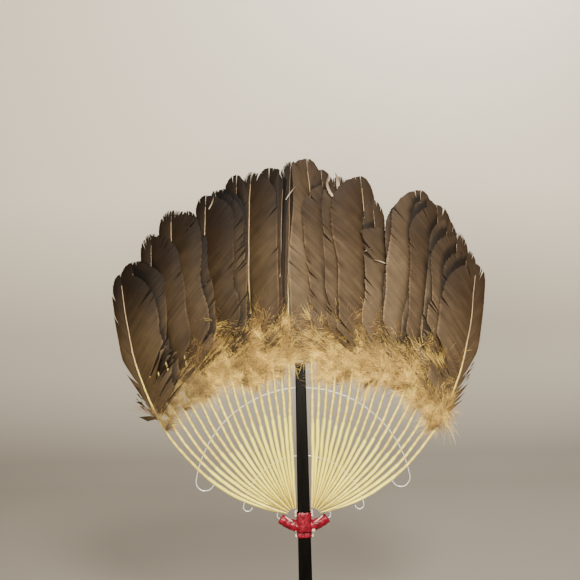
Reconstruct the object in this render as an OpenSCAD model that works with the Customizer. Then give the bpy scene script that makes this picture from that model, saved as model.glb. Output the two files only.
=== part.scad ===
// Feather hand fan: two mirrored wings of quill feathers on a flat lacquered stick.
// Units are millimetres. +Z is up, the front faces -Y and the fan lies in the XZ plane.
// The origin is the middle of the flat butt end of the stick.

/* [Show] */
// Sub-part to draw, or all of them

/* [Stick] */
// Height of the quill roots above the butt end
root_z = 155; // [120:1:200]
// How far the stick runs up between the wings, above the quill roots
stick_above = 160; // [120:1:180]
// Width of the stick at the butt
stick_butt_w = 15.6; // [12:0.2:20]
// Width of the stick at its top end
stick_top_w = 10.8; // [8:0.2:14]
// Thickness of the stick at the butt
stick_butt_t = 8.4; // [6:0.2:12]
// Thickness of the stick at its top end
stick_top_t = 6; // [4:0.2:10]
// Chamfer on the long edges of the stick
stick_chamfer = 1.1; // [0.4:0.1:2]
// Radius of the holes drilled across the stick for the wires
stick_hole_r = 1; // [0.8:0.1:1.5]

/* [Collar] */
// Height of the main red tape wrap
wrap_h = 20.8; // [14:0.2:30]
// Height of the narrow tape band under the wrap
band_h = 4.6; // [3:0.2:8]
// Gap between the wrap and the band
band_gap = 1; // [0.6:0.1:2]
// Thickness of the tape layers
tape_t = 0.7; // [0.4:0.1:1.5]
// Radius of the lashing cord
cord_r = 1.1; // [0.8:0.1:1.6]
// Heights of the two upper cord turns, from the quill roots
upper_turns = [-1.8, 1.3]; // [-5:0.1:5]
// Heights of the two lower cord turns, from the quill roots
lower_turns = [-23.4, -17.5]; // [-30:0.1:-10]
// Radius of the lashing knot
knot_r = 2; // [1.4:0.1:3]
// Radius of the thin cords tied along the arms
tie_r = 0.6; // [0.4:0.1:1]
// Radius of an arm at the collar
arm_r_in = 2.2; // [1.5:0.1:3]
// Radius of an arm at its outer end
arm_r_out = 3.8; // [3:0.1:5]
// Length of an arm
arm_len = 16.4; // [10:0.1:20]
// Rise of an arm from horizontal
arm_rise = 34; // [20:1:45]

/* [Feathers] */
// Feathers in each wing
per_wing = 17; // [9:1:21]
// Length of the feather next to the stick
length_in = 368; // [300:1:400]
// How much shorter the feathers get evenly across the wing
length_drop = 16; // [0:1:40]
// Extra shortening that only the outermost feathers have
length_drop_edge = 26; // [0:1:50]
// Lean of the innermost quill at its root, from vertical
root_lean_in = 3.2; // [0:0.1:10]
// Lean of the outermost quill at its root, from vertical
root_lean_out = 80.6; // [60:0.2:90]
// Above 1, the quills crowd towards the stick
root_lean_power = 1.08; // [0.8:0.01:1.5]
// Lean of the innermost feather at its tip, negative towards the stick
tip_lean_in = -3.3; // [-10:0.1:5]
// Extra tip lean that only the outermost feathers have
tip_lean_edge = 7.5; // [0:0.5:20]
// How quickly a feather straightens above its root
curl_power = 1.53; // [1:0.01:2.5]
// Width of the broad vane, on the side towards the stick
vane_w_in = 32; // [20:0.5:40]
// Width of the narrow vane, on the outer side
vane_w_out = 14; // [8:0.5:20]
// Tilt of every vane, so that each feather laps in front of its inner neighbour
louver = 15; // [8:0.5:20]
// How far the right wing laps over the centre line
centre_lap = 12; // [0:0.5:16]
// Share of an inner feather that is bare quill
bare_in = 0.42; // [0.3:0.01:0.5]
// Share of an outer feather that is bare quill
bare_out = 0.54; // [0.4:0.01:0.6]
// Front-to-back step between the three layers of quill roots
layer_step = 3.1; // [2:0.1:4]

/* [Wires] */
// Radius of the spreader wires
wire_r = 0.5; // [0.4:0.05:0.8]
// Radius of the holes through the quills
quill_hole_r = 0.9; // [0.6:0.05:1.1]
// Radius of the upper wire's arc
upper_r = 114.9; // [100:0.1:130]
// Height of the upper arc's centre above the quill roots
upper_c = 18; // [0:1:30]
// Angle of the upper arc to each side of vertical
upper_half = 80.5; // [76:0.5:90]
// Radius of the middle wire's arc
middle_r = 65; // [50:1:80]
// Height of the middle arc's centre above the quill roots
middle_c = -4; // [-20:1:10]
// Angle of the middle arc to each side of vertical
middle_half = 79; // [76:0.5:90]
// Radius of the hook at each end of the upper wire
upper_hook_r = 9.3; // [6:0.1:12]
// Radius of the hook at each end of the middle wire
middle_hook_r = 3.6; // [3:0.1:8]
// How far each wire hook turns
hook_turn = 115; // [60:1:180]
// Radius of the keeper hook between an arm and the outermost quill
keeper_r = 4.2; // [3:0.1:6]

/* [Hidden] */
$fn = 48;

black_c = [0.05, 0.04, 0.04];
red_c = [0.68, 0.06, 0.18];
cord_c = [0.93, 0.80, 0.66];
wire_c = [0.80, 0.80, 0.78];
vane_c = [0.50, 0.41, 0.31];

top_z = root_z + stick_above;
wrap_top = root_z + 1;
wrap_bottom = wrap_top - wrap_h;
band_top = wrap_bottom - band_gap;
band_bottom = band_top - band_h;
upper_centre = [0, root_z + upper_c];
middle_centre = [0, root_z + middle_c];

// Fine steps along a feather, and the bare quill's widest place
steps = 60;
merge_share = 0.17;
first_wide = 13;
root_circle = 6;
root_focus_in = 8.2;
root_focus_out = 11.4;
root_focus_drop = 0.7;
quill_radius = [[0, 0.7], [0.03, 1.15], [0.1, 1.4], [0.2, 1.85], [0.33, 2.2], [0.43, 1.6], [1, 0.45]];
down_r = 4;
down_span = 0.045;
// Half thickness of the vane at its edge and at the quill
vane_edge = 0.28;
vane_web = 0.42;
// The same for a bare quill, as shares of its radius
bare_edge = 0.3;
bare_web = 0.55;
// A section has a blade where the vane reaches this many quill radii
blade_from = 1.3;
// Corners of the quill's section, as shares of its radius
quill_side = 0.85;
quill_flat = 0.45;
quill_front = 0.9;
// Depth of the swelling of down beside its width
down_depth = 0.65;
// Share of the blade over which it widens, and the power that rounds its foot
widen_share = 0.28;
widen_power = 0.7;
// Share of the blade at which the tip starts to round off, how far the rounding would run, and its least width
tip_from = 0.7;
tip_span = 0.31;
tip_least = 0.02;
// Tilt of the one vane that lies flat, and the least reach of a left vane beside the centre line
flat_tilt = 3;
least_reach = 5;
// Gap between the left wing's vanes and the right wing's lap
centre_gap = 1.5;
// Length of the holes through the quills
quill_hole_len = 12;
// Clearances between parts that touch without joining
snug = 0.01;
slack = 0.05;

function two_digits(i) = i < 10 ? str("0", i) : str(i);
function mix(a, b, t) = a + (b - a) * t;
function clamp01(t) = min(1, max(0, t));
function smooth(t) = let (c = clamp01(t)) c * c * (3 - 2 * c);

// ---- Stick ----

function stick_w(z) = mix(stick_butt_w, stick_top_w, z / top_z);
function stick_t(z) = mix(stick_butt_t, stick_top_t, z / top_z);

module slab(w0, w1, h, depth) {
    rotate([90, 0, 0])
        linear_extrude(depth, center = true)
            polygon([[-w0 / 2, 0], [w0 / 2, 0], [w1 / 2, h], [-w1 / 2, h]]);
}

// How far an arc of wire drops between the middle and the side of the stick
function wire_sag(r) = r - sqrt(r * r - pow(stick_top_w / 2, 2));

// A long bar that planes off one upright edge of the stick
module edge_plane(sx, sy) {
    lean_x = atan((stick_butt_w - stick_top_w) / 2 / top_z);
    lean_y = atan((stick_butt_t - stick_top_t) / 2 / top_z);
    bar = 10;
    translate([sx * stick_butt_w / 2, sy * stick_butt_t / 2, 0])
        rotate([sy * lean_y, -sx * lean_x, 0])
            rotate([0, 0, atan2(sy, sx)])
                translate([bar / 2 - stick_chamfer / sqrt(2), 0, top_z / 2])
                    cube([bar, 2 * bar, top_z + 4 * bar], center = true);
}

module stick() {
    color(black_c)
        difference() {
            intersection() {
                slab(stick_butt_w, stick_top_w, top_z, 2 * stick_butt_t);
                rotate([0, 0, 90])
                    slab(stick_butt_t, stick_top_t, top_z, 2 * stick_butt_w);
            }
            for (sx = [-1, 1], sy = [-1, 1])
                edge_plane(sx, sy);
            for (arc = [[upper_centre, upper_r], [middle_centre, middle_r]])
                translate([0, 0, arc[0].y + arc[1] - wire_sag(arc[1]) / 2])
                    rotate([0, 90, 0])
                        cylinder(r = stick_hole_r, h = 3 * stick_butt_w, center = true);
        }
}

// ---- Collar, lashing and arms ----

// A rectangle with its four corners cut off
module cut_corners(w, t, c) {
    x = w / 2;
    y = t / 2;
    polygon([
        [x, y - c], [x - c, y], [c - x, y], [-x, y - c],
        [-x, c - y], [c - x, -y], [x - c, -y], [x, c - y]
    ]);
}

// A closed tape sleeve around the stick between two heights
module sleeve(z0, z1) {
    w = stick_w(z0) + 2 * snug;
    t = stick_t(z0) + 2 * snug;
    translate([0, 0, z0])
        linear_extrude(z1 - z0)
            difference() {
                cut_corners(w + 2 * tape_t, t + 2 * tape_t, stick_chamfer + tape_t * (2 - sqrt(2)));
                cut_corners(w, t, stick_chamfer);
            }
}

module collar_wrap() {
    color(red_c) sleeve(wrap_bottom, wrap_top);
}

module collar_band() {
    color(red_c) sleeve(band_bottom, band_top);
}

cord_x = stick_w(band_bottom) / 2 + tape_t + cord_r + slack;
cord_y = stick_t(band_bottom) / 2 + tape_t + cord_r + slack;
cord_corner = 2.2;
cord_front = -3;
knot_offset = [1.1, 0.4];
// Sideways run of the strand that crosses between two turns, per unit of height
cross_run = 1.36;
// That strand's radius beside the cord's
cross_thin = 0.9;
// A bead or ball a little fatter than the cord or wire joins its straight and bent pieces
fatter = 1.08;
bead = 0.5;

module rod(a, b, r) {
    d = b - a;
    h = norm(d);
    translate(a)
        rotate([0, acos(d.z / h), atan2(d.y, d.x)])
            cylinder(r = r, h = h);
}

// One turn of cord round the back of the stick, its ends tucked against the sides of the tape
module cord_turn(z) {
    x = cord_x - cord_corner;
    y = cord_y - cord_corner;
    translate([0, 0, z]) {
        rod([-x, cord_y, 0], [x, cord_y, 0], cord_r);
        for (s = [0, 1])
            mirror([s, 0, 0]) {
                rod([cord_x, cord_front, 0], [cord_x, y, 0], cord_r);
                rod([cord_x, y - bead, 0], [cord_x, y + bead, 0], fatter * cord_r);
                rod([x - bead, cord_y, 0], [x + bead, cord_y, 0], fatter * cord_r);
                translate([x, y, 0])
                    rotate_extrude(angle = 90)
                        translate([cord_corner, 0])
                            circle(cord_r);
            }
    }
}

// Two turns joined by a crossing strand at the back
module cord_pair(turns) {
    x = cross_run * (turns[1] - turns[0]) / 2;
    for (z = turns)
        cord_turn(root_z + z);
    rod([-x, cord_y, root_z + turns[0]], [x, cord_y, root_z + turns[1]], cross_thin * cord_r);
}

module lashing_upper() {
    color(cord_c) cord_pair(upper_turns);
}

module lashing_lower() {
    color(cord_c) {
        cord_pair(lower_turns);
        translate([cord_x + knot_offset.x, cord_front + knot_offset.y, root_z + lower_turns[1]])
            sphere(knot_r);
    }
}

arm_start = [8.6, root_z - 14];
arm_dir = [cos(arm_rise), sin(arm_rise)];
arm_up = [-sin(arm_rise), cos(arm_rise)];
arm_limit = stick_w(wrap_bottom) / 2 + tape_t + slack;
keeper_centre = [24.2, root_z - 1.8];
keeper_from = -98;
keeper_to = 48;
keeper_leg = 4.5;
// How far the leg's hole starts above the leg and runs on past it
leg_hole_above = 2;
leg_hole_past = 0.5;
keeper_through = keeper_to - 4;
keeper_tip = keeper_centre + keeper_r * [cos(keeper_through), sin(keeper_through)];

function on_circle(c, r, a) = [c.x + r * cos(a), 0, c.y + r * sin(a)];

module arm() {
    leg = on_circle(keeper_centre, keeper_r, keeper_from);
    color(red_c)
        difference() {
            translate([arm_start.x, 0, arm_start.y])
                rotate([0, 90 - arm_rise, 0])
                    cylinder(r1 = arm_r_in, r2 = arm_r_out, h = arm_len);
            translate([arm_limit - arm_len, -arm_len / 2, arm_start.y - arm_len])
                cube([arm_len, arm_len, 2 * arm_len]);
            translate(leg)
                rotate([0, 180 - keeper_from, 0])
                    translate([0, 0, -leg_hole_above])
                        cylinder(r = wire_r + 4 * slack, h = leg_hole_above + keeper_leg + leg_hole_past);
        }
}

module arm_right() {
    arm();
}

module arm_left() {
    mirror([1, 0, 0]) arm();
}

// A thin cord lying along the upper front side of an arm
module tie() {
    function at(t) = let (
        reach = (mix(arm_r_in, arm_r_out, t / arm_len) + tie_r + 2 * slack) / sqrt(2),
        p = arm_start + t * arm_dir + reach * arm_up
    ) [p.x, -reach, p.y];
    color(cord_c) rod(at(arm_r_in), at(arm_len - tie_r), tie_r);
}

module tie_right() {
    tie();
}

module tie_left() {
    mirror([1, 0, 0]) tie();
}

// ---- Wires ----

// An arc of wire in the XZ plane, angles counted from +X towards +Z
module wire_arc(c, r, from, to) {
    translate([c.x, 0, c.y])
        rotate([90, 0, 0])
            rotate_extrude(angle = to - from, start = from)
                translate([r, 0])
                    circle(wire_r);
}

// A long arc with a round hook turned inwards at each end
module spreader(c, r, half, hook_r) {
    color(wire_c) {
        wire_arc(c, r, 90 - half, 90 + half);
        for (s = [0, 1])
            mirror([s, 0, 0]) {
                end = [c.x + (r - hook_r) * sin(half), c.y + (r - hook_r) * cos(half)];
                wire_arc(end, hook_r, 90 - half - hook_turn, 90 - half);
                translate(on_circle(c, r, 90 - half)) sphere(fatter * wire_r);
            }
    }
}

module wire_upper() {
    spreader(upper_centre, upper_r, upper_half, upper_hook_r);
}

module wire_middle() {
    spreader(middle_centre, middle_r, middle_half, middle_hook_r);
}

module keeper() {
    leg = on_circle(keeper_centre, keeper_r, keeper_from);
    color(wire_c) {
        wire_arc(keeper_centre, keeper_r, keeper_from, keeper_to);
        translate(leg) sphere(fatter * wire_r);
        translate(leg)
            rotate([0, 180 - keeper_from, 0])
                cylinder(r = wire_r, h = keeper_leg);
    }
}

module keeper_right() {
    keeper();
}

module keeper_left() {
    mirror([1, 0, 0]) keeper();
}

// ---- Feathers ----
// Each feather is worked out for the right wing as [outwards, up] points, and mirrored for the left.

function share(i) = (i - 1) / (per_wing - 1);
function feather_length(i) = length_in - length_drop * share(i) - length_drop_edge * pow(share(i), 6);
function root_lean(i) = mix(root_lean_in, root_lean_out, pow(share(i), root_lean_power));
function tip_lean(i) = tip_lean_in + tip_lean_edge * pow(share(i), 4);
function lean(i, s) = tip_lean(i) + (root_lean(i) - tip_lean(i)) * pow(1 - s, curl_power);
function bare_share(i) = mix(bare_in, bare_out, share(i));
function layer(i) = (i + 2) % 3 - 1;
function depth(i, s) = layer(i) * layer_step * (1 - smooth(s / merge_share));

function root_point(i) = [
    mix(root_focus_in, root_focus_out, share(i)) + root_circle * sin(root_lean(i)),
    root_z - root_focus_drop + root_circle * cos(root_lean(i))
];

// The centre line of feather i in equal fine steps
function centre_line(i) = let (d = feather_length(i) / steps) [
    for (k = 0, p = root_point(i);
         k <= steps;
         a = lean(i, (k + 0.5) / steps), p = p + d * [sin(a), cos(a)], k = k + 1)
        p
];

// Fine steps at which the feather gets a cross-section
function stations(i) = let (v = round(steps * bare_share(i))) concat(
    [0, 2, 7, first_wide],
    [round(mix(first_wide, v - 3, 0.5)), v - 3, v - 1, v + 1, v + 4],
    [for (t = [0.25, 0.45, 0.65, 0.82, 0.92, 0.97, 1]) round(mix(v, steps, t))]
);

function vane_share(i, s) = clamp01((s - bare_share(i)) / (1 - bare_share(i)));
function rise(v) = pow(smooth(v / widen_share), widen_power);
function fall(v) = v < tip_from ? 1 : sqrt(max(tip_least, 1 - pow((v - tip_from) / tip_span, 2)));
function down_swell(i, s) = smooth(1 - abs(s - bare_share(i)) / down_span);

// The broad vane stops short of the other wing's feathers at the centre line
function reach_limit(i, side, u) =
    side > 0 ? u + centre_lap :
    i == 1 ? u - centre_gap : max(least_reach, u - centre_lap - centre_gap);

function half_width(i, side, s, u, broad) = let (
    v = vane_share(i, s),
    r = lookup(s, quill_radius),
    full = broad ? min(vane_w_in, reach_limit(i, side, u)) : vane_w_out
) max(r, full * rise(v) * fall(v), down_r * down_swell(i, s));

// The innermost left feather lies flat towards the centre line, under the right wing's lap
function blade_tilt(i, side, q) = side < 0 && i == 1 && q.x > 0 ? flat_tilt : louver;

// Twelve points round the feather: quill in the middle, a thin blade to each side
function section(i, side, k, p) = let (
    s = k / steps,
    r = max(lookup(s, quill_radius), down_r * down_depth * down_swell(i, s)),
    wi = half_width(i, side, s, p.x, true),
    wo = half_width(i, side, s, p.x, false),
    bladed = wi > blade_from * r,
    edge = bladed ? vane_edge : bare_edge * r,
    web = bladed ? vane_web : bare_web * r,
    side_x = quill_side * r,
    flat_x = quill_flat * r,
    front = quill_front * r,
    shape = [
        [wi, -edge], [wi, edge], [side_x, web], [flat_x, front], [-flat_x, front], [-side_x, web],
        [-wo, edge], [-wo, -edge], [-side_x, -web], [-flat_x, -front], [flat_x, -front], [side_x, -web]
    ],
    a = lean(i, s)
) [
    for (q = shape) let (
        t = blade_tilt(i, side, q),
        across = q.x * cos(t) - q.y * sin(t),
        forward = q.x * sin(t) + q.y * cos(t)
    ) [p.x - across * cos(a), depth(i, s) - forward, p.y + across * sin(a)]
];

module feather_blank(i, side) {
    line = centre_line(i);
    ks = stations(i);
    n = len(ks);
    m = 12;
    points = [for (k = ks) each section(i, side, k, line[k])];
    walls = [
        for (j = [0 : n - 2], q = [0 : m - 1])
            let (a = j * m + q, b = j * m + (q + 1) % m)
                each [[a, a + m, b], [b, a + m, b + m]]
    ];
    root = [[for (q = [0 : m - 1]) q]];
    tip = [[for (q = [m - 1 : -1 : 0]) (n - 1) * m + q]];
    polyhedron(points = points, faces = concat(root, walls, tip), convexity = 6);
}

// Where a feather's sectioned centre line crosses a circle: [outwards, up]
function crossing(i, c, r) = let (
    line = centre_line(i),
    ks = stations(i),
    hit = [
        for (j = [0 : len(ks) - 2])
            let (p = line[ks[j]], q = line[ks[j + 1]], dp = norm(p - c) - r, dq = norm(q - c) - r)
                if (dp < 0 && dq >= 0) mix(p, q, dp / (dp - dq))
    ]
) hit[0];

module quill_hole(c, p) {
    a = atan2(p.y - c.y, p.x - c.x);
    translate([p.x, 0, p.y])
        rotate([0, -a, 0])
            cylinder(r = quill_hole_r, h = quill_hole_len, center = true, $fn = 24);
}

module feather(i, side) {
    color(vane_c)
        mirror([side > 0 ? 0 : 1, 0, 0])
            difference() {
                feather_blank(i, side);
                quill_hole(upper_centre, crossing(i, upper_centre, upper_r));
                quill_hole(middle_centre, crossing(i, middle_centre, middle_r));
                if (i == per_wing)
                    quill_hole(keeper_centre, keeper_tip);
            }
}

stick();
collar_wrap();
collar_band();
lashing_upper();
lashing_lower();
arm_left();
arm_right();
tie_left();
tie_right();
wire_upper();
wire_middle();
keeper_left();
keeper_right();
for (i = [1 : per_wing]) {
    feather(i, -1);
    feather(i, 1);
}
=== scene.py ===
"""Feather hand fan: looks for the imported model, in metres, in the row frame.

The fan lies in the XZ plane and faces -Y. Every feather starts on its CAD solid's centre line, and its vane
is built barb by barb, so that splits, frayed edges and see-through gaps are real geometry.
"""
import math

import bpy
import numpy as np
from mathutils import Matrix, Vector


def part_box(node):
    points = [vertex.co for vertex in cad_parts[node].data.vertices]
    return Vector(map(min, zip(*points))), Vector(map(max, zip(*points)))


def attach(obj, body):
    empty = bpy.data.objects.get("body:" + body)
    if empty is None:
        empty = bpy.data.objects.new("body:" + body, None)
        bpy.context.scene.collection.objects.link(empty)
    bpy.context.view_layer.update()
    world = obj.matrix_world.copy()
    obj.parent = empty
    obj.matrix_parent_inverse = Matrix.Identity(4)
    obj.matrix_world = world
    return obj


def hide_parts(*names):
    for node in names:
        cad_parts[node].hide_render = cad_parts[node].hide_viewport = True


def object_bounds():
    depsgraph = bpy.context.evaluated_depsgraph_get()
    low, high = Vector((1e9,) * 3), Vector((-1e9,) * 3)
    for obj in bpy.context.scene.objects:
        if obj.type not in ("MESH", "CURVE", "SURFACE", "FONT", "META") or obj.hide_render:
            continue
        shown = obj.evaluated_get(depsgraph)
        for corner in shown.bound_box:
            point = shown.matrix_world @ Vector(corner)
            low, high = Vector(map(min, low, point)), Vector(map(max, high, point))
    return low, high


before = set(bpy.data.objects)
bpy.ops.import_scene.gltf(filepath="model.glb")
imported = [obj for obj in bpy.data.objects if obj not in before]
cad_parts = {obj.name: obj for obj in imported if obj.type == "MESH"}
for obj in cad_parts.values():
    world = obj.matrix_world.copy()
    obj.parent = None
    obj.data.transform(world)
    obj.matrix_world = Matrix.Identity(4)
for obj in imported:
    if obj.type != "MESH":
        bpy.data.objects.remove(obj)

CAD_LOW, CAD_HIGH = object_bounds()
MM = 0.001

# ---- Driving dimensions, as in the part's source ----
PER_WING = 17
ROOT_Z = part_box("collar_wrap")[1].z - 1 * MM
LENGTH_IN, LENGTH_DROP, LENGTH_DROP_EDGE, LENGTH_EDGE_POWER = 368 * MM, 16 * MM, 26 * MM, 6
ROOT_LEAN_IN, ROOT_LEAN_OUT, ROOT_LEAN_POWER = 3.2, 80.6, 1.08
TIP_LEAN_IN, TIP_LEAN_EDGE, TIP_LEAN_EDGE_POWER = -3.3, 7.5, 4
CURL_POWER = 1.53
VANE_IN, VANE_OUT = 32 * MM, 14 * MM
LOUVER, FLAT_TILT = math.radians(15), math.radians(3)
CENTRE_LAP = 12 * MM
BARE_IN, BARE_OUT = 0.42, 0.54
LAYER_STEP, MERGE_SHARE = 3.1 * MM, 0.17
ROOT_CIRCLE, ROOT_FOCUS_IN, ROOT_FOCUS_OUT, ROOT_DROP = 6 * MM, 8.2 * MM, 11.4 * MM, 0.7 * MM

# ---- Detail of the looks ----
FEATHER_SEED, TINT_SEED, ARM_SEED = 900, 7000, 60
# Steps along a solid's centre line, and how many times its length the line is worked out for
LINE_STEPS, LINE_SPARE = 400, 1.2
BARB_PITCH = 0.6 * MM
# Shares of a barb's length at which it has points, closer together at both ends
BARB_PLACES = [0, 0.05, 0.14, 0.28, 0.43, 0.58, 0.72, 0.84, 0.93, 0.98, 1.0]
# How far barbs run forwards for each millimetre across, on the broad and the narrow side
BARB_SLOPE_IN, BARB_SLOPE_OUT = 1.05, 1.9
TUFTS_PER_FEATHER = 84
STRANDS_PER_TUFT = 24
POINTS_PER_STRAND = 9
# Half width of a strand of down at its root
STRAND_HALF = 0.14 * MM
# How many mm longer or shorter than the part's feathers these are, counted outwards from the stick
TIP_SHIFT = {
    -1: [0, -16, -3, -14, -1, 0, -10, -6, -5, -14, -30, 4, -12, 2, -12, 2, 9],
    1: [-1, 4, -6, -18, -8, -14, 0, -20, -42, -6, 11, 10, 14, 10, 10, 8, 11],
}
# Width of the broad vane beside the part's; narrow feathers are almost hidden behind their neighbours
BREADTH = {
    -1: [1.0, 0.7, 1.08, 0.6, 1.05, 0.4, 0.75, 1.02, 1.08, 0.4, 1.0, 1.1, 0.4, 1.08, 0.65, 1.05, 1.12],
    1: [0.95, 1.08, 0.42, 1.0, 0.72, 0.62, 1.1, 0.42, 0.9, 0.78, 1.05, 0.68, 0.95, 0.7, 0.92, 0.8, 1.12],
}
# Degrees by which the blades turn further out than the part's; the very tip turns TIP_TURN_GAIN times as far
TIP_TURN_GAIN = 1.6
TIP_TURN = {
    -1: [0.3, -0.6, 0.5, 0.8, -0.7, 0.2, 0.7, -0.4, -0.8, 0.9, 0.4, -0.5, 0.6, -0.7, 0.3, -0.8, 0.4],
    1: [0.0, -0.5, 0.3, -0.9, -1.2, -1.0, -1.4, -2.2, -1.5, 2.6, 2.4, 1.0, 0.8, 0.4, 0.2, 0.3, 0.5],
}
# Tone of each wing's vanes, the left wing being in shade, and how dark the tips are beside the left wing's
SHADE = {-1: np.array([0.265, 0.25, 0.21]), 1: np.array([0.5, 0.5, 0.5])}
TIP_DARK_SHARE = {-1: 1.0, 1: 0.62}
# How far the first left vane reaches past the fan's centre, and the least width of the other left vanes there
FIRST_REACH, LEAST_REACH = 4 * MM, 5 * MM
# How far the right wing's edge wavers at the centre, and how much further back each left vane stays from it
LAP_WAVER, LAP_STEP = 1.5 * MM, 3 * MM
# Feathers whose tip has broken off square, feathers with a badly split vane, and feathers with a spiky end
SQUARE_TIPS = ["left_11", "right_09"]
RAGGED = ["left_08", "right_04", "right_05", "right_08", "right_09", "right_16"]
SPIKY = ["left_01", "left_05", "left_08", "left_12", "left_14", "right_01", "right_15", "right_16"]
PALE_SHAFTS = ["left_05", "left_09", "left_12", "left_17", "right_02", "right_07", "right_17"]
# Where tips start to round off, as a share of the blade, and where shafts end, as a share of the feather
ROUND_FROM_SQUARE, ROUND_FROM_IN, ROUND_FROM_OUT = 0.97, 0.83, 0.86
SQUARE_END, ROUND_END = 0.985, 0.965
# Loose strips: feather, share of its length, length and width in mm, degrees inwards, bend in radians
SLIVERS = [
    ("left_09", 0.955, 17, 1.6, 38, -0.5),
    ("left_02", 0.93, 20, 1.5, 28, 0.3),
    ("left_11", 0.90, 14, 1.2, 80, 0.2),
    ("right_05", 0.93, 30, 3.0, 62, -1.5),
    ("right_05", 0.95, 22, 3.6, -12, 0.5),
    ("right_04", 0.97, 18, 0.7, 20, -1.1),
    ("right_09", 0.87, 16, 1.2, 60, 0.4),
    ("right_09", 0.86, 20, 0.9, -50, 0.6),
    ("right_08", 0.85, 13, 1.0, 100, 0.3),
]
# Radius along a feather in mm: the hollow quill, and the thinner shaft above the step where it was stripped
QUILL_PLACES, QUILL_RADII = [0, 0.03, 0.1, 0.18, 1], [0.7, 1.15, 1.6, 2.1, 2.3]
SHAFT_PLACES, SHAFT_RADII = [0, 0.3, 0.43, 0.7, 1], [1.9, 1.75, 1.5, 0.9, 0.25]
SHAFT_SIDES, SHAFT_FLAT = 10, 0.92
ARM_SIDES, ARM_FLAT = 48, 0.7
WIRE_SIDES, WIRE_RADIUS = 10, 0.56 * MM


def smooth(t):
    """Eases from 0 to 1 as t does, and stays there beyond."""
    c = np.clip(t, 0, 1)
    return c * c * (3 - 2 * c)


def mix(a, b, t):
    return a + (b - a) * t


def wavy(rng, x, scale):
    """Smooth noise along a line, about -1 to 1, with bumps about scale wide."""
    out = np.zeros_like(x)
    for k in range(3):
        turns = rng.uniform(0.7, 1.3) * 2 ** k / scale
        out += np.sin(2 * np.pi * (x * turns + rng.random())) / 2 ** k
    return out / 1.75


# ---- Feather centre lines ----


def share(i):
    """0 for the feather beside the stick, 1 for the outermost."""
    return (i - 1) / (PER_WING - 1)


class Feather:
    """One wing feather: its centre line, and the way from feather coordinates to the row frame."""

    def __init__(self, i, side):
        f = share(i)
        self.i, self.side = i, side
        self.name = f"{'right' if side > 0 else 'left'}_{i:02d}"
        self.rng = np.random.default_rng(FEATHER_SEED + 2 * i + (side > 0))
        full = LENGTH_IN - LENGTH_DROP * f - LENGTH_DROP_EDGE * f ** LENGTH_EDGE_POWER
        self.length = full + TIP_SHIFT[side][i - 1] * MM
        self.bare = mix(BARE_IN, BARE_OUT, f) * full / self.length
        root = mix(ROOT_LEAN_IN, ROOT_LEAN_OUT, f ** ROOT_LEAN_POWER)
        tip = TIP_LEAN_IN + TIP_LEAN_EDGE * f ** TIP_LEAN_EDGE_POWER
        s = (np.arange(int(LINE_STEPS * LINE_SPARE)) + 0.5) / LINE_STEPS
        turn = TIP_TURN[side][i - 1] * TIP_TURN_GAIN * smooth(s * 1.3 - 0.3)
        lean = np.radians(tip + (root - tip) * np.clip(1 - s, 0, None) ** CURL_POWER + turn)
        d = full / LINE_STEPS
        focus = mix(ROOT_FOCUS_IN, ROOT_FOCUS_OUT, f)
        r = math.radians(root)
        u0 = focus + ROOT_CIRCLE * math.sin(r)
        z0 = ROOT_Z - ROOT_DROP + ROOT_CIRCLE * math.cos(r)
        self.run = np.arange(len(s) + 1) * d
        self.u = u0 + np.concatenate([[0], np.cumsum(np.sin(lean) * d)])
        self.z = z0 + np.concatenate([[0], np.cumsum(np.cos(lean) * d)])
        self.lean = np.concatenate([[lean[0]], lean])
        self.layer = (i + 2) % 3 - 1
        self.width_in, self.width_out = BREADTH[side][i - 1], self.rng.uniform(0.85, 1.1)
        self.tone = self.rng.uniform(0.15, 0.85)
        self.tip_dark = self.rng.uniform(0.85, 1.0) * TIP_DARK_SHARE[side]
        self.end = SQUARE_END if self.name in SQUARE_TIPS else ROUND_END
        self.outer = None

    def outwards(self, run):
        """How far out from the fan's middle the centre line is."""
        return np.interp(run, self.run, self.u)

    def depth(self, run):
        """How far behind the fan's plane the centre line is; the roots sit in three layers that merge."""
        return self.layer * LAYER_STEP * (1 - smooth(run / self.length / MERGE_SHARE))

    def place(self, run, inwards, forward, tilt=None):
        """Row-frame points from run along the centre line, inwards from it and forward of the blade."""
        run, inwards, forward = np.broadcast_arrays(run, inwards, forward)
        if tilt is None:
            flat = self.side < 0 and self.i == 1
            tilt = np.where(inwards > 0, FLAT_TILT if flat else LOUVER, LOUVER)
        lean = np.interp(run, self.run, self.lean)
        across = inwards * np.cos(tilt) - forward * np.sin(tilt)
        ahead = inwards * np.sin(tilt) + forward * np.cos(tilt)
        u = self.outwards(run) - across * np.cos(lean)
        z = np.interp(run, self.run, self.z) + across * np.sin(lean)
        return np.stack([self.side * u, self.depth(run) - ahead, z], -1)

    def reach(self, run):
        """How far the broad vane may go inwards at each place, so that the wings lap only as they should."""
        u = self.outwards(run)
        if self.side > 0:
            # The wings lap half as far at the tips
            high = smooth((run / self.length - 0.55) / 0.4)
            return u + mix(CENTRE_LAP, 0.5 * CENTRE_LAP, high) + LAP_WAVER * np.sin(run * 50)
        if self.i == 1:
            return u + FIRST_REACH
        step_back = LAP_WAVER + LAP_STEP * (min(self.i, 4) - 2)
        return np.maximum(LEAST_REACH, u - CENTRE_LAP - step_back)


# ---- Mesh helpers ----


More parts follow.
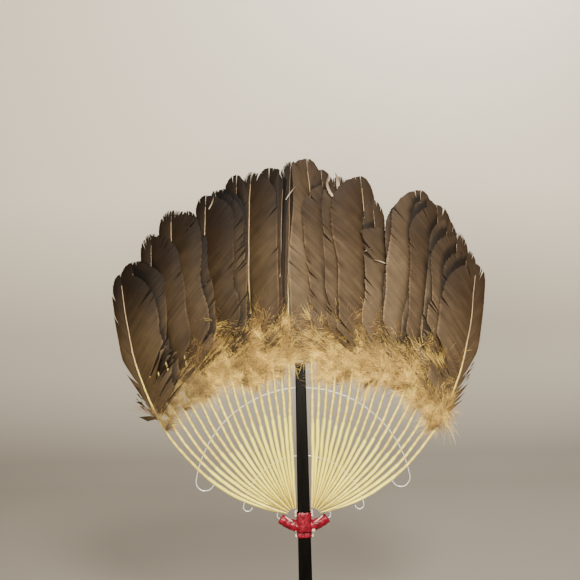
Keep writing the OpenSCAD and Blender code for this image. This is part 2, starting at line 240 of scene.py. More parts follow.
class Skin:
    """Collects vertices, faces, colours and a material number per face, then makes one mesh object."""

    def __init__(self):
        self.points, self.faces, self.tints, self.mats = [], [], [], []
        self.count = 0

    def grid(self, points, tints, mat, wrap=False):
        """A rows x columns x 3 grid of points, joined into quads; wrap closes each row into a ring."""
        rows, cols = points.shape[:2]
        idx = self.count + np.arange(rows * cols).reshape(rows, cols)
        if wrap:
            idx = np.concatenate([idx, idx[:, :1]], 1)
        quads = np.stack([idx[:-1, :-1], idx[:-1, 1:], idx[1:, 1:], idx[1:, :-1]], -1).reshape(-1, 4)
        self._add(points.reshape(-1, 3), tints.reshape(-1, 3), quads, mat)

    def ribbons(self, left, right, tints, mat):
        """Many strips at once: left and right edges are strips x points x 3."""
        n, m = left.shape[:2]
        pts = np.stack([left, right], 2)
        idx = self.count + np.arange(n * m * 2).reshape(n, m, 2)
        quads = np.stack([idx[:, :-1, 0], idx[:, :-1, 1], idx[:, 1:, 1], idx[:, 1:, 0]], -1).reshape(-1, 4)
        self._add(pts.reshape(-1, 3), np.repeat(tints.reshape(-1, 3), 2, 0), quads, mat)

    def _add(self, pts, tints, quads, mat):
        self.points.append(pts)
        self.tints.append(tints)
        self.faces.append(quads)
        self.mats.append(np.full(len(quads), mat, np.int32))
        self.count += len(pts)

    def object(self, name, materials):
        pts, faces = np.concatenate(self.points), np.concatenate(self.faces)
        tints, mats = np.concatenate(self.tints), np.concatenate(self.mats)
        mesh = bpy.data.meshes.new(name)
        mesh.vertices.add(len(pts))
        mesh.vertices.foreach_set("co", pts.astype(np.float32).ravel())
        mesh.loops.add(len(faces) * 4)
        mesh.loops.foreach_set("vertex_index", faces.astype(np.int32).ravel())
        mesh.polygons.add(len(faces))
        mesh.polygons.foreach_set("loop_start", (np.arange(len(faces)) * 4).astype(np.int32))
        mesh.polygons.foreach_set("material_index", mats)
        mesh.polygons.foreach_set("use_smooth", np.ones(len(faces), bool))
        mesh.update(calc_edges=True)
        colour = mesh.color_attributes.new("tint", "FLOAT_COLOR", "POINT")
        rgba = np.concatenate([tints, np.ones((len(tints), 1))], 1)
        colour.data.foreach_set("color", rgba.astype(np.float32).ravel())
        for m in materials:
            mesh.materials.append(m)
        obj = bpy.data.objects.new(name, mesh)
        bpy.context.scene.collection.objects.link(obj)
        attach(obj, "root")
        return obj


# ---- Materials ----


def new_material(name):
    mat = bpy.data.materials.new(name)
    mat.use_nodes = True
    nodes, links = mat.node_tree.nodes, mat.node_tree.links
    return mat, nodes, links, nodes["Principled BSDF"]


def set_sockets(node, values):
    """Sets a node's own sockets, by name, to constants."""
    for name, value in values.items():
        node.inputs[name].default_value = value


def grey(level):
    return (level, level, level, 1)


def add_bump(nodes, links, shader, height, strength, distance):
    bump = nodes.new("ShaderNodeBump")
    set_sockets(bump, {"Strength": strength, "Distance": distance})
    links.new(height, bump.inputs["Height"])
    links.new(bump.outputs["Normal"], shader.inputs["Normal"])


def add_noise(nodes, links, scale, detail, stretch=(1, 1, 1)):
    place = nodes.new("ShaderNodeTexCoord")
    mapping = nodes.new("ShaderNodeMapping")
    set_sockets(mapping, {"Scale": stretch})
    noise = nodes.new("ShaderNodeTexNoise")
    set_sockets(noise, {"Scale": scale, "Detail": detail})
    links.new(place.outputs["Object"], mapping.inputs["Vector"])
    links.new(mapping.outputs["Vector"], noise.inputs["Vector"])
    return noise.outputs["Fac"]


def tinted(nodes, links, shader, fac, low, high):
    """Base colour from the mesh's own tint, made darker and lighter by a noise."""
    tint = nodes.new("ShaderNodeAttribute")
    tint.attribute_name = "tint"
    span = nodes.new("ShaderNodeMapRange")
    set_sockets(span, {"From Min": 0.3, "From Max": 0.7, "To Min": low, "To Max": high})
    scale = nodes.new("ShaderNodeVectorMath")
    scale.operation = "SCALE"
    links.new(fac, span.inputs["Value"])
    links.new(tint.outputs["Color"], scale.inputs[0])
    links.new(span.outputs["Result"], scale.inputs["Scale"])
    links.new(scale.outputs["Vector"], shader.inputs["Base Color"])


def vane_material():
    mat, nodes, links, shader = new_material("feather_vane")
    tinted(nodes, links, shader, add_noise(nodes, links, 90, 5), 0.86, 1.12)
    set_sockets(shader, {"Roughness": 0.62, "Specular IOR Level": 0.14})
    add_bump(nodes, links, shader, add_noise(nodes, links, 900, 3), 0.2, 0.0003)
    return mat


def down_material():
    mat, nodes, links, shader = new_material("feather_down")
    tinted(nodes, links, shader, add_noise(nodes, links, 60, 4), 0.8, 1.15)
    set_sockets(shader, {"Roughness": 0.8, "Sheen Weight": 0.25, "Sheen Roughness": 0.5})
    return mat


def quill_material():
    mat, nodes, links, shader = new_material("feather_quill")
    tinted(nodes, links, shader, add_noise(nodes, links, 260, 6, (1, 1, 0.25)), 0.88, 1.08)
    set_sockets(shader, {"Roughness": 0.34, "Coat Weight": 0.35, "Coat Roughness": 0.22})
    set_sockets(shader, {"Subsurface Weight": 0.15, "Subsurface Scale": 1.0})
    set_sockets(shader, {"Subsurface Radius": (0.003, 0.002, 0.001)})
    add_bump(nodes, links, shader, add_noise(nodes, links, 1400, 4, (1, 1, 0.2)), 0.35, 0.0003)
    return mat


def ramp(nodes, links, fac, stops):
    """A colour ramp with stops of (position, colour), from the lowest to the highest."""
    node = nodes.new("ShaderNodeValToRGB")
    node.color_ramp.elements[0].position, node.color_ramp.elements[0].color = stops[0]
    node.color_ramp.elements[1].position, node.color_ramp.elements[1].color = stops[-1]
    for position, colour in stops[1:-1]:
        node.color_ramp.elements.new(position).color = colour
    links.new(fac, node.inputs["Fac"])
    return node.outputs["Color"]


def lacquer_material():
    mat, nodes, links, shader = new_material("black_lacquer")
    grain = add_noise(nodes, links, 160, 6, (1, 1, 0.08))
    blacks = [(0.35, (0.0012, 0.001, 0.0008, 1)), (0.72, (0.004, 0.0034, 0.0028, 1))]
    links.new(ramp(nodes, links, grain, blacks), shader.inputs["Base Color"])
    scratch = add_noise(nodes, links, 700, 2, (1, 1, 0.05))
    links.new(ramp(nodes, links, scratch, [(0.45, grey(0.3)), (0.75, grey(0.5))]), shader.inputs["Roughness"])
    set_sockets(shader, {"Specular IOR Level": 0.05})
    add_bump(nodes, links, shader, scratch, 0.2, 0.0002)
    return mat


def tape_material():
    mat, nodes, links, shader = new_material("red_tape")
    folds = add_noise(nodes, links, 240, 5)
    reds = [
        (0.3, (0.045, 0.0002, 0.002, 1)),
        (0.52, (0.15, 0.0003, 0.009, 1)),
        (0.72, (0.27, 0.001, 0.024, 1)),
    ]
    links.new(ramp(nodes, links, folds, reds), shader.inputs["Base Color"])
    set_sockets(shader, {"Roughness": 0.36, "Specular IOR Level": 0.22})
    set_sockets(shader, {"Coat Weight": 0.08, "Coat Roughness": 0.2})
    add_bump(nodes, links, shader, add_noise(nodes, links, 420, 4), 0.35, 0.0006)
    return mat


def cord_material():
    mat, nodes, links, shader = new_material("lashing_cord")
    place = nodes.new("ShaderNodeTexCoord")
    wave = nodes.new("ShaderNodeTexWave")
    wave.bands_direction = "DIAGONAL"
    set_sockets(wave, {"Scale": 260, "Distortion": 1.5})
    links.new(place.outputs["Object"], wave.inputs["Vector"])
    # Painted shade: darker where the bump puts the grooves of the twist
    groove_shaded_creams = [(0.1, (0.55, 0.34, 0.24, 1)), (0.8, (0.86, 0.66, 0.52, 1))]
    links.new(ramp(nodes, links, wave.outputs["Fac"], groove_shaded_creams), shader.inputs["Base Color"])
    set_sockets(shader, {"Roughness": 0.75, "Sheen Weight": 0.3})
    add_bump(nodes, links, shader, wave.outputs["Fac"], 0.7, 0.0006)
    return mat


def wire_material():
    mat, nodes, links, shader = new_material("spreader_wire")
    dull = add_noise(nodes, links, 500, 4)
    silvers = [(0.3, (0.50, 0.49, 0.45, 1)), (0.7, (0.78, 0.77, 0.72, 1))]
    links.new(ramp(nodes, links, dull, silvers), shader.inputs["Base Color"])
    links.new(ramp(nodes, links, dull, [(0.3, grey(0.42)), (0.7, grey(0.24))]), shader.inputs["Roughness"])
    set_sockets(shader, {"Metallic": 0.3})
    return mat


def backdrop_material():
    """Pale plaster, with painted shade making it much darker low down."""
    mat, nodes, links, shader = new_material("pale_backdrop")
    place = nodes.new("ShaderNodeTexCoord")
    split = nodes.new("ShaderNodeSeparateXYZ")
    span = nodes.new("ShaderNodeMapRange")
    set_sockets(span, {"From Min": ROOT_Z - 0.12, "From Max": ROOT_Z + 0.46})
    links.new(place.outputs["Object"], split.inputs["Vector"])
    links.new(split.outputs["Z"], span.inputs["Value"])
    # Painted shade: the colour darkens towards the bottom
    shaded_tones = [(0.0, (0.18, 0.16, 0.13, 1)), (0.3, (0.42, 0.375, 0.305, 1)), (1.0, (0.84, 0.75, 0.60, 1))]
    links.new(ramp(nodes, links, span.outputs["Result"], shaded_tones), shader.inputs["Base Color"])
    set_sockets(shader, {"Roughness": 0.9})
    add_bump(nodes, links, shader, add_noise(nodes, links, 220, 2), 0.12, 0.001)
    return mat


# ---- Feathers ----

VANE_LIGHT = np.array([0.205, 0.140, 0.078])
VANE_MID = np.array([0.072, 0.041, 0.0175])
VANE_DARK = np.array([0.018, 0.008, 0.003])
DOWN_LIGHT = np.array([1.0, 0.70, 0.15])
DOWN_MID = np.array([0.36, 0.20, 0.045])
DOWN_DARK = np.array([0.05, 0.024, 0.007])
# What the down on the left wing's outer feathers is multiplied by, as it is greyer there
WISP_GREY = np.array([0.52, 0.52, 0.64])
QUILL_PALE = np.array([1.0, 0.87, 0.11])
QUILL_AMBER = np.array([0.56, 0.33, 0.075])
SHAFT_TOP = np.array([0.38, 0.25, 0.12])
SLIVER_PALE = np.array([0.42, 0.36, 0.27])
SHAFT_HIDDEN = np.array([0.15, 0.09, 0.045])


def vane_width(f, inner, run):
    """Width of the vane measured straight across from the shaft, 0 beyond the tip of the blade."""
    start = f.length * f.bare
    v = (run - start) / (f.length - start)
    round_from = ROUND_FROM_SQUARE if f.name in SQUARE_TIPS else ROUND_FROM_IN if inner else ROUND_FROM_OUT
    # The tip rounds off as an ellipse does, the foot starts narrow, and the width wavers between them
    head = np.clip(1 - (np.clip(v - round_from, 0, None) / (1 - round_from)) ** 2, 0, None) ** 0.5
    foot = mix(0.3, 1, smooth((v + 0.02) / 0.17))
    full = (f.width_in * VANE_IN) if inner else (f.width_out * VANE_OUT)
    wave = 1 + 0.06 * np.sin(v * 7 + 2.1 * f.i) + 0.025 * np.sin(v * 19 + 3.7 * f.i)
    return full * head * foot * wave


def barb_reach(f, inner, run, slope):
    """How far across each barb gets before it meets the outline of the blade, found by halving."""
    halvings = 24
    low, high = np.zeros_like(run), np.full_like(run, 1.3 * VANE_IN)
    for _ in range(halvings):
        half = (low + high) / 2
        inside = half < vane_width(f, inner, run + slope * half)
        low, high = np.where(inside, half, low), np.where(inside, high, half)
    return low


def draw_cuts(rng, count, places, gaps, opens, fades):
    """Random splits: [place along the blade, gap, where across it opens, mm over which its push fades]."""
    return [[rng.uniform(*places), rng.uniform(*gaps) * MM, rng.uniform(*opens), rng.uniform(*fades)]
            for _ in range(count)]


def choose_cuts(f, inner, v):
    """Splits of the vane, sorted, with the row of barbs in place of the place along the blade."""
    worn = f.name in RAGGED
    spiky = worn or f.name in SPIKY
    frayed = f.i >= PER_WING - 2 if inner else f.i == PER_WING
    # Splits all along the blade, short ones near its tip, and wide ones at its foot
    cuts = draw_cuts(f.rng, 8 if worn else 2, (0.03, 0.93), (0.3, 1.6), (0.45, 0.85), (5, 16))
    cuts += draw_cuts(f.rng, 6 if spiky else 1, (0.86, 0.995), (0.2, 0.8), (0.75, 0.93), (2, 5))
    cuts += draw_cuts(f.rng, 7 if frayed else 3, (0, 0.26 if frayed else 0.1), (1.5, 4), (0.05, 0.5), (3, 9))
    for cut in cuts:
        cut[0] = int(np.clip(np.searchsorted(v, cut[0]), 4, len(v) - 4))
    return sorted(cuts)


def add_vane(skin, f, inner):
    """One side of a feather: rows of barbs from the shaft to the blade's edge, cut apart at the splits."""
    rng = f.rng
    start, end = f.length * (f.bare - 0.01), f.length * f.end
    run = np.arange(start, end, BARB_PITCH)
    v = (run - start) / (end - start)
    # Barbs get steeper towards the tip, where they close the blade's end
    slope = BARB_SLOPE_IN if inner else BARB_SLOPE_OUT
    slope = slope + 5 * smooth((v - 0.78) / 0.22) ** 2 + 60 * smooth((v - 0.9) / 0.1) ** 4
    slope = slope + 0.06 * wavy(rng, run, 50 * MM) - 0.35 * smooth(1 - v / 0.15)
    across = barb_reach(f, inner, run, slope)
    tip_part = smooth((v - 0.72) / 0.28)
    across *= 1 + 0.012 * wavy(rng, run, 7 * MM) + rng.normal(0, 0.006, len(run))
    notch = 0.3 if f.name in SPIKY else 0.015
    across *= 1 - notch * np.clip(wavy(rng, run, 3 * MM), 0, 1) * tip_part ** 2
    if inner:
        across = np.minimum(across, f.reach(run + slope * across))
    t = np.array(BARB_PLACES)[None, :]
    cuts = choose_cuts(f, inner, v)
    edges = [0] + [c[0] for c in cuts] + [len(run) - 1]
    sway = rng.uniform(-1, 1, 3) * MM
    # Each stretch between two splits is a sheet of its own
    for first, last in zip(edges[:-1], edges[1:]):
        if last - first < 1:
            continue
        rows = np.arange(first, last + 1)
        push, lift = np.zeros((len(rows), t.size)), np.zeros((len(rows), t.size))
        # Barbs beside a split are pushed away from it, and lifted or lowered a little
        for row, gap, opens, fade in cuts:
            sign = 1 if first >= row else -1
            near = np.exp(-np.abs(rows - row) * BARB_PITCH / (fade * MM))[:, None]
            opening = np.clip((t - opens) / (1 - opens), 0, 1) ** 1.3
            push += sign * gap * near * opening
            lift += sign * 0.3 * gap * near * opening
        # Barbs curve forwards, the vane arches from shaft to edge, and its edge rolls up and down
        a, k, r = across[rows, None], slope[rows, None], run[rows, None]
        norm = np.sqrt(1 + k * k)
        sideways = a * t - push * k / norm
        where = r + k * a * (0.86 * t + 0.14 * t * t) + push / norm
        arch = 0.085 * a * np.sin(np.pi * t * 0.86) - 0.05 * a * t ** 5
        roll = (sway[0] * np.sin(v[rows] * 5 + f.i) + sway[1] * np.sin(v[rows] * 13))[:, None] * t ** 2
        points = f.place(where, sideways if inner else -sideways, arch + roll + lift)
        skin.grid(points, vane_tints(f, where, v[rows], a, t, inner), 0)


def vane_tints(f, where, v, breadth, t, inner):
    """Streaks along the barbs, cloudy patches and a dark tip; a thin rim of painted highlight on the broad
    side's edge, darker on the narrow side's; painted shadow under the next feather's edge; and each wing's
    tone, the left wing's in painted shade.
    """
    rng = np.random.default_rng(TINT_SEED + f.i * 4 + 2 * inner + (f.side > 0))
    rows = v * 240
    streak = 0.5 * wavy(rng, rows, 2.2)[:, None] + 0.5 * wavy(rng, rows, 9)[:, None]
    cloud = wavy(rng, rows, 60)[:, None] * np.cos(2 * t + f.i) + wavy(rng, rows, 25)[:, None] * np.sin(5 * t)
    fine = rng.normal(0, 0.11, len(v))[:, None]
    light = f.tone + 0.17 * streak + fine + 0.2 * cloud + 0.12 * np.sin(np.pi * t)
    light = light - 0.35 * smooth((v - 0.3) / 0.6)[:, None]
    light = np.where(inner, light, light - 0.2)
    tint = mix(VANE_MID, VANE_LIGHT, np.clip(light, 0, 1)[..., None])
    high = where / f.length
    dark = smooth((high - 0.76 + 0.03 * streak) / 0.24) * f.tip_dark + 0.12 * smooth((0.08 - t) / 0.08)
    tint = mix(tint, VANE_DARK, np.clip(dark, 0, 0.95)[..., None])
    # Painted highlight: a thin pale rim along the broad side's edge; the narrow side's edge is made darker
    # instead
    painted_rim = smooth((t - 0.95) / 0.03) * (0.7 if inner else -0.4) * (1 - smooth((high - 0.8) / 0.15))
    # Painted shadow where the next feather's edge lies over this one
    unshadowed_share = 1 - neighbour_shadow(f, where, breadth * t, inner)
    return tint * SHADE[f.side] * ((1 + painted_rim) * unshadowed_share)[..., None]


def neighbour_shadow(f, where, across, inner):
    """Painted shadow in the narrow gap where the next feather's edge lies over this one."""
    if f.outer is None or not inner:
        return 0 * across
    spacing = f.outer.outwards(where) - f.outwards(where)
    beyond = across - vane_width(f.outer, True, where) + spacing
    return 0.75 * np.exp(-np.clip(beyond, 0, None) / (1.5 * MM))


def shaft_radius(s, step):
    """The hollow quill widens up to the step where stripping starts; the shaft above it is thinner."""
    quill = np.interp(s, QUILL_PLACES, QUILL_RADII)
    shaft = np.interp(s, SHAFT_PLACES, SHAFT_RADII)
    return np.where(s < step, quill, shaft) * MM


def add_shaft(skin, f):
    """Quill and shaft as one tube, a little flat, which wanders beside the centre line."""
    rng = f.rng
    step = rng.uniform(0.24, 0.285)
    # Rings of points, closer together in the lower half and at the step
    step_edges = step + np.array([-1, 1]) * 0.001
    s = np.sort(np.concatenate([np.linspace(0, 0.5, 90), np.linspace(0.51, f.end, 50), step_edges]))
    run = s * f.length
    nicks = 0.12 * np.clip(wavy(rng, run, 5 * MM), 0, 1) * smooth((s - step) / 0.05)
    r = shaft_radius(s, step) * (1 + 0.03 * wavy(rng, run, 20 * MM) + nicks)
    r[0] *= 0.3
    turn = np.linspace(0, 2 * np.pi, SHAFT_SIDES, endpoint=False)
    across = r[:, None] * np.cos(turn)
    forward = r[:, None] * np.sin(turn) * SHAFT_FLAT
    wander = 0.5 * MM * wavy(rng, run, 70 * MM)[:, None] * smooth(s * 4)[:, None]
    pts = f.place(run[:, None], across + wander, forward, 0.0)
    # Amber where it was stripped, at the root and in faint bands
    mark = wavy(rng, run, 8 * MM)
    stripped = smooth((s - step + 0.002) / 0.004) * (0.45 + 0.25 * mark)
    base = 0.45 * smooth((0.13 - s) / 0.12)
    amber = np.clip(stripped + base + 0.08 * mark, 0, 1)[:, None]
    tint = mix(QUILL_PALE, QUILL_AMBER, amber) * rng.uniform(0.88, 1.05)
    top = SHAFT_TOP if f.name in PALE_SHAFTS else SHAFT_HIDDEN
    tint = mix(tint, top, smooth((s - f.bare) / 0.3)[:, None])
    # Painted shade: darker at both sides of the tube, where neighbouring quills almost touch
    side_shade = (1 - 0.52 * np.cos(turn) ** 2)[None, :, None]
    skin.grid(pts, tint[:, None, :] * side_shade, 2, wrap=True)


def add_down(skin, f):
    """Curly strands in tufts, from just under the vane's foot to some way up its front."""
    rng = f.rng
    # The left wing's last feathers have little down left; at both ends of the fan it grows inwards only
    sparse = f.side < 0 and f.i >= PER_WING - 3
    thin_edge = f.side < 0 and f.i >= PER_WING - 5
    edge = thin_edge or f.i == PER_WING
    tufts = TUFTS_PER_FEATHER // (3 if sparse else 1)
    n = tufts * STRANDS_PER_TUFT
    tuft = np.repeat(np.arange(tufts), STRANDS_PER_TUFT)
    # Tufts grow from lowest to highest, in mm up the shaft from the vane's foot, more of them low than high
    lowest = 1 if f.i <= 2 else -22 if f.side > 0 or f.i < PER_WING - 2 else -14
    highest = 8 if edge or f.i == PER_WING - 1 else 40
    height = rng.random(tufts) ** 1.4
    base = f.bare * f.length + (mix(lowest, highest, height) + rng.uniform(-6, 5)) * MM
    # Each tuft has a direction and a length of its own, from which its strands differ a little
    side = np.ones(tufts) if edge else rng.choice([-1, 1], tufts)
    angle = np.radians(rng.normal(62, 38, tufts)[tuft] + rng.normal(0, 7, n))
    rise = np.radians(rng.normal(16, 18, tufts)[tuft] + rng.normal(0, 8, n))
    length = (rng.uniform(9, 20 if edge else 27, tufts)[tuft] * rng.uniform(0.5, 1.15, n) * MM)[:, None]
    lateral = (side[tuft] * np.sin(angle) * np.cos(rise))[:, None]
    along = (np.cos(angle) * np.cos(rise))[:, None]
    out = np.sin(rise)[:, None]
    # A strand bends to one side, and curls more towards its end
    t = np.linspace(0, 1, POINTS_PER_STRAND)[None, :]
    bend = (rng.normal(0, 0.5, tufts)[tuft] + rng.normal(0, 0.25, n))[:, None]
    curl = (rng.uniform(0.6, 2.8, n) * MM)[:, None]
    phase = 2 * np.pi * (rng.uniform(0.8, 2.2, n)[:, None] * t + rng.random(n)[:, None])
    far = length * t
    swing = bend * far * t + curl * np.sin(phase) * t
    x = lateral * far + along * swing
    y = along * far - lateral * swing
    z = out * far * (1 - 0.45 * t) + curl * np.cos(phase) * t * 0.7 + 0.5 * MM
    root = (base[tuft] + rng.normal(0, 1.5 * MM, n))[:, None]
    centre = f.place(root + y, x, z, LOUVER * 0.6)
    # Each strand is a ribbon that faces roughly forwards
    direction = np.gradient(centre, axis=1)
    direction /= np.maximum(np.linalg.norm(direction, axis=2, keepdims=True), 1e-9)
    flat = np.cross(direction, rng.normal(0, 0.5, (n, 1, 3)) + np.array([0, -1, 0]))
    flat /= np.maximum(np.linalg.norm(flat, axis=2, keepdims=True), 1e-9)
    half = flat * STRAND_HALF * (1 - 0.7 * t)[..., None]
    # Tufts are darker higher up, and strands are paler towards their ends: painted shade darkens each tuft
    # near its roots
    tone = np.clip(rng.normal(0.48, 0.42, tufts) - 0.35 * height, 0, 1)[tuft][:, None]
    light = np.clip(tone + 0.5 * (t - 0.35) + rng.normal(0, 0.1, (n, 1)), 0, 1)[..., None]
    dark_half, light_half = mix(DOWN_DARK, DOWN_MID, light * 2), mix(DOWN_MID, DOWN_LIGHT, light * 2 - 1)
    tint = np.where(light < 0.5, dark_half, light_half)
    if thin_edge:
        tint = tint * WISP_GREY
    skin.ribbons(centre - half, centre + half, tint, 1)


def add_slivers(skin, f):
    """Pale strips of broken barbs that start beside the shaft and stand in front of the blade."""
    for name, at, length, width, turn, bend in SLIVERS:
        if name != f.name:
            continue
        t = np.linspace(0, 1, 16)
        heading = math.radians(turn) + bend * t
        step = length * MM / len(t)
        inwards = 4 * MM + np.cumsum(np.sin(heading)) * step
        run = at * f.length + np.cumsum(np.cos(heading)) * step
        half = 0.5 * width * MM * np.sin(np.pi * np.clip(0.12 + 0.88 * t, 0, 1)) ** 0.6
        forward = 2.2 * MM + 2 * MM * t
        left = f.place(run + half * np.sin(heading), inwards - half * np.cos(heading), forward)
        right = f.place(run - half * np.sin(heading), inwards + half * np.cos(heading), forward + 0.6 * MM)
        tint = mix(SLIVER_PALE, 0.7 * VANE_LIGHT, smooth(t)[:, None])
        skin.ribbons(left[None], right[None], tint[None], 0)


def make_wing(side):
    """All the feathers of one wing, each knowing the next one outwards."""
    feathers = [Feather(i, side) for i in range(1, PER_WING + 1)]
    for feather, outer in zip(feathers[:-1], feathers[1:]):
        feather.outer = outer
    return feathers


def make_feather(f, materials):
    skin = Skin()
    add_vane(skin, f, True)
    add_vane(skin, f, False)
    add_down(skin, f)
    add_shaft(skin, f)
    add_slivers(skin, f)
    obj = skin.object(f"plume_{f.name}", materials)
    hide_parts(f"feather_{f.name}")


# ---- Collar and wires ----


def crinkle(rng, a, b, size):
    """Sharp little folds running every way over a surface with coordinates a and b."""
    out = np.zeros(np.broadcast(a, b).shape)
    for k in range(6):
        turn = rng.uniform(0, np.pi)
        phase = (a * np.cos(turn) + b * np.sin(turn)) * np.pi / size * 1.25 ** k + rng.uniform(0, 6)
        out += np.abs(np.sin(phase)) / 1.3 ** k
    return out / 2 - 0.6


def fold_shade_tints(folds):
    """Painted shade in the valleys of the folds, and painted highlight on their ridges."""
    return np.repeat((0.75 + 0.6 * folds)[..., None], 3, 2)


def make_tape(name, node, seed, size):
    """A wrap of crinkled tape round the stick, in place of the plain sleeve."""
    rng = np.random.default_rng(seed)
    low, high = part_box(node)
    half_x, half_y, centre = (high.x - low.x) / 2, (high.y - low.y) / 2, (high + low) / 2
    angle = np.linspace(0, 2 * np.pi, 120, endpoint=False)[None, :]
    up = np.linspace(0, 1, 26)[:, None]
    # A rounded square: the higher the power, the sharper its corners
    power = 6
    inverse = np.abs(np.cos(angle) / half_x) ** power + np.abs(np.sin(angle) / half_y) ** power
    corner = inverse ** (-1 / power)
    folds = crinkle(rng, corner * angle, up * (high.z - low.z), size)
    clear, fold_depth, lip_depth, edge_waver = 0.2 * MM, 0.45 * MM, 0.6 * MM, 0.35 * MM
    lip = lip_depth * np.abs(2 * up - 1) ** 8
    r = corner + clear + fold_depth * folds - lip
    edge = edge_waver * wavy(rng, angle[0], 1.1)[None, :] * (2 * up - 1)
    z = low.z + (high.z - low.z) * up + edge + 0 * angle
    points = np.stack([centre.x + r * np.cos(angle), centre.y + r * np.sin(angle), z], -1)
    skin = Skin()
    # The tint paints shade in the folds' valleys and highlight on their ridges
    skin.grid(points, fold_shade_tints(folds), 0, wrap=True)
    obj = skin.object(name, [tape_material()])
    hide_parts(node)


def tube(skin, path, radius, flat, tints):
    """A closed tube along a path in the XZ plane; flat squeezes it front to back."""
    ahead = np.gradient(path, axis=0)
    ahead /= np.linalg.norm(ahead, axis=1, keepdims=True)
    side = np.stack([ahead[:, 2], 0 * ahead[:, 0], -ahead[:, 0]], -1)
    turn = np.linspace(0, 2 * np.pi, radius.shape[1], endpoint=False)[None, :, None]
    ring = side[:, None, :] * np.cos(turn) + np.array([0, -1, 0]) * np.sin(turn) * flat
    skin.grid(path[:, None, :] + radius[..., None] * ring, tints, 0, wrap=True)


def make_arm(side):
    """Gathered tape, drawn in at both ends, that reaches out and up from the wrap and sags a little."""
    name = "right" if side > 0 else "left"
    rng = np.random.default_rng(ARM_SEED + side)
    along = np.linspace(0, 1, 40)
    start, end = np.array([5.2, 0, -14.5]) * MM, np.array([25.4, 0, -5.0]) * MM
    path = start + (end - start) * along[:, None] + np.array([0, 0, ROOT_Z])
    path[:, 2] -= 1.2 * MM * np.sin(np.pi * along)
    path[:, 0] *= side
    ends = np.clip(np.minimum(along / 0.04, (1 - along) / 0.03), 0.02, 1) ** 0.5
    turn = np.linspace(0, 2 * np.pi, ARM_SIDES, endpoint=False)[None, :]
    folds = crinkle(rng, turn * 4 * MM, (along * 19 * MM)[:, None], 4.5 * MM)
    start_radius, end_radius, fold_depth = 5.9, 4.9, 0.6 * MM
    radius = (mix(start_radius, end_radius, along[:, None]) * MM + fold_depth * folds) * ends[:, None]
    skin = Skin()
    # The tint paints shade in the folds' valleys and highlight on their ridges
    tube(skin, path, radius, ARM_FLAT, fold_shade_tints(folds))
    obj = skin.object(f"tape_arm_{name}", [tape_material()])
    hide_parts(f"arm_{name}")


def arc(centre, radius, start, stop, step=3.0):
    """Points on a circle in the XZ plane between two angles, in degrees."""
    angle = np.radians(np.arange(start, stop + step / 2, step if stop > start else -step))
    return np.stack([centre[0] + radius * np.cos(angle), 0 * angle, centre[1] + radius * np.sin(angle)], -1)


def make_spreader(name, node, height, radius, half, hook, turn):
    """A long arc of wire ending in a round hook at each side, slightly wavy as bent by hand.

    height is that of the arc's centre, half is half its angle, hook and turn are a hook's radius and angle.
    """
    rng = np.random.default_rng(int(radius * 1e6))
    lean = math.radians(half)
    hook_at = np.array([(radius - hook) * math.sin(lean), height + (radius - hook) * math.cos(lean)])
    right_hook = arc(hook_at, hook, 90 - half - turn, 90 - half - 3)
    left_hook = right_hook[::-1] * np.array([-1, 1, 1])
    path = np.concatenate([right_hook, arc((0, height), radius, 90 - half, 90 + half, 1.0), left_hook])
    run = np.cumsum(np.linalg.norm(np.diff(path, axis=0, prepend=path[:1]), axis=1))
    path[:, 2] += 0.25 * MM * wavy(rng, run, 60 * MM)
    thick = np.full((len(path), WIRE_SIDES), WIRE_RADIUS)
    thick[[0, -1]] *= 0.2
    skin = Skin()
    tube(skin, path, thick, 1.0, np.ones(thick.shape + (3,)))
    obj = skin.object(name, [wire_material()])
    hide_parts(node)


# ---- Scene ----


def make_backdrop():
    """A pale floor that curves up into a wall behind the fan."""
    deep, near, radius, wide, tall = 1.2, -12.0, 0.3, 12.0, 3.0
    floor = CAD_LOW.z - 0.5 * MM
    turn = np.linspace(0, np.pi / 2, 14)
    ys = np.concatenate([[near], deep - radius + radius * np.sin(turn), [deep]])
    zs = np.concatenate([[floor], floor + radius - radius * np.cos(turn), [floor + tall]])
    cols = 3
    xs = np.linspace(-wide, wide, cols)
    verts = [(x, y, z) for y, z in zip(ys, zs) for x in xs]
    corners = [r * cols + c for r in range(len(ys) - 1) for c in range(cols - 1)]
    faces = [(k, k + 1, k + cols + 1, k + cols) for k in corners]
    mesh = bpy.data.meshes.new("backdrop")
    mesh.from_pydata(verts, [], faces)
    for p in mesh.polygons:
        p.use_smooth = True
    mesh.materials.append(backdrop_material())
    obj = bpy.data.objects.new("backdrop", mesh)
    bpy.context.scene.collection.objects.link(obj)


def area_light(name, place, target, size, power, colour):
    data = bpy.data.lights.new(name, "AREA")
    data.shape = "DISK"
    data.size = size
    data.energy = power
    data.color = colour
    obj = bpy.data.objects.new(name, data)
    obj.location = place
    obj.rotation_euler = (Vector(target) - Vector(place)).to_track_quat("-Z", "Y").to_euler()
    bpy.context.scene.collection.objects.link(obj)


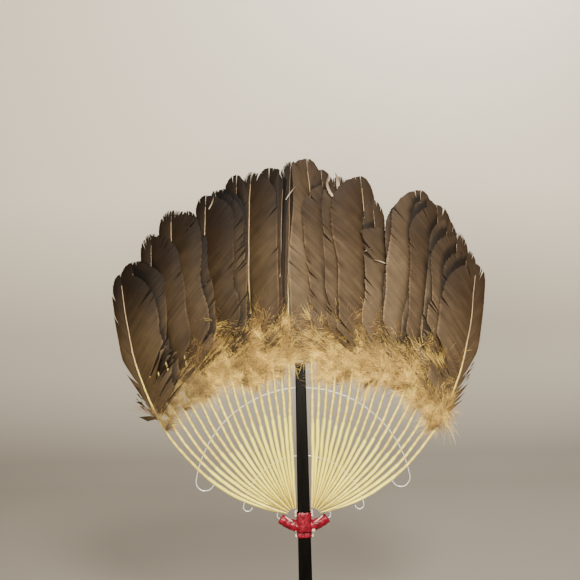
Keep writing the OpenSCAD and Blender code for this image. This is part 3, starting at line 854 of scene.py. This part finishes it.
def make_camera_and_lights():
    """A long lens straight in front of the fan, with light mostly from above and in front."""
    data = bpy.data.cameras.new("camera")
    data.lens = 60
    data.sensor_width = 36
    data.clip_start = 0.05
    # Width of the view at the fan
    view_width = 0.615
    away = view_width * data.lens / data.sensor_width
    cam = bpy.data.objects.new("camera", data)
    aim = Vector((-0.0089, 0, ROOT_Z + 0.2367))
    upright = Matrix.Rotation(math.radians(90), 4, "X")
    roll = Matrix.Rotation(math.radians(-1.4), 4, "Z")
    cam.matrix_world = Matrix.Translation(aim + Vector((0, -away, 0))) @ upright @ roll
    bpy.context.scene.collection.objects.link(cam)
    bpy.context.scene.camera = cam
    area_light("key", (0.3, -1.35, 1.4), (0, 0, 0.35), 0.45, 56, (1.0, 0.95, 0.86))
    area_light("low", (-0.1, -0.9, 0.35), (0, 0, 0.2), 0.2, 11, (1.0, 0.92, 0.76))
    area_light("fill", (1.4, -1.2, 0.7), (0, 0, 0.35), 1.0, 6, (0.95, 0.97, 1.0))
    area_light("wall", (0, 0.1, 1.9), (0, 1.2, 0.75), 1.0, 14, (1.0, 0.96, 0.9))
    area_light("back", (0.5, 0.95, 1.55), (0, 0, 0.33), 0.8, 24, (1.0, 0.98, 0.95))
    world = bpy.data.worlds.new("world")
    world.use_nodes = True
    set_sockets(world.node_tree.nodes["Background"], {"Color": (1.0, 0.97, 0.93, 1), "Strength": 0.16})
    bpy.context.scene.world = world


def dress_cad(names, material):
    """Gives CAD parts that are kept as they are their material."""
    for name in names:
        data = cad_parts[name].data
        data.materials.clear()
        data.materials.append(material)


make_camera_and_lights()
make_backdrop()
feather_materials = [vane_material(), down_material(), quill_material()]
for wing in (-1, 1):
    for feather in make_wing(wing):
        make_feather(feather, feather_materials)
dress_cad(["stick"], lacquer_material())
make_tape("tape_wrap", "collar_wrap", 3, 5 * MM)
make_tape("tape_band", "collar_band", 4, 4 * MM)
for wing in (-1, 1):
    make_arm(wing)
make_spreader("spreader_upper", "wire_upper",
              height=ROOT_Z + 18 * MM, radius=114.9 * MM, half=80.5, hook=9.6 * MM, turn=178)
make_spreader("spreader_middle", "wire_middle",
              height=ROOT_Z - 4 * MM, radius=65 * MM, half=79, hook=4.6 * MM, turn=185)
dress_cad(["lashing_upper", "lashing_lower", "tie_left", "tie_right"], cord_material())
dress_cad(["keeper_left", "keeper_right"], wire_material())
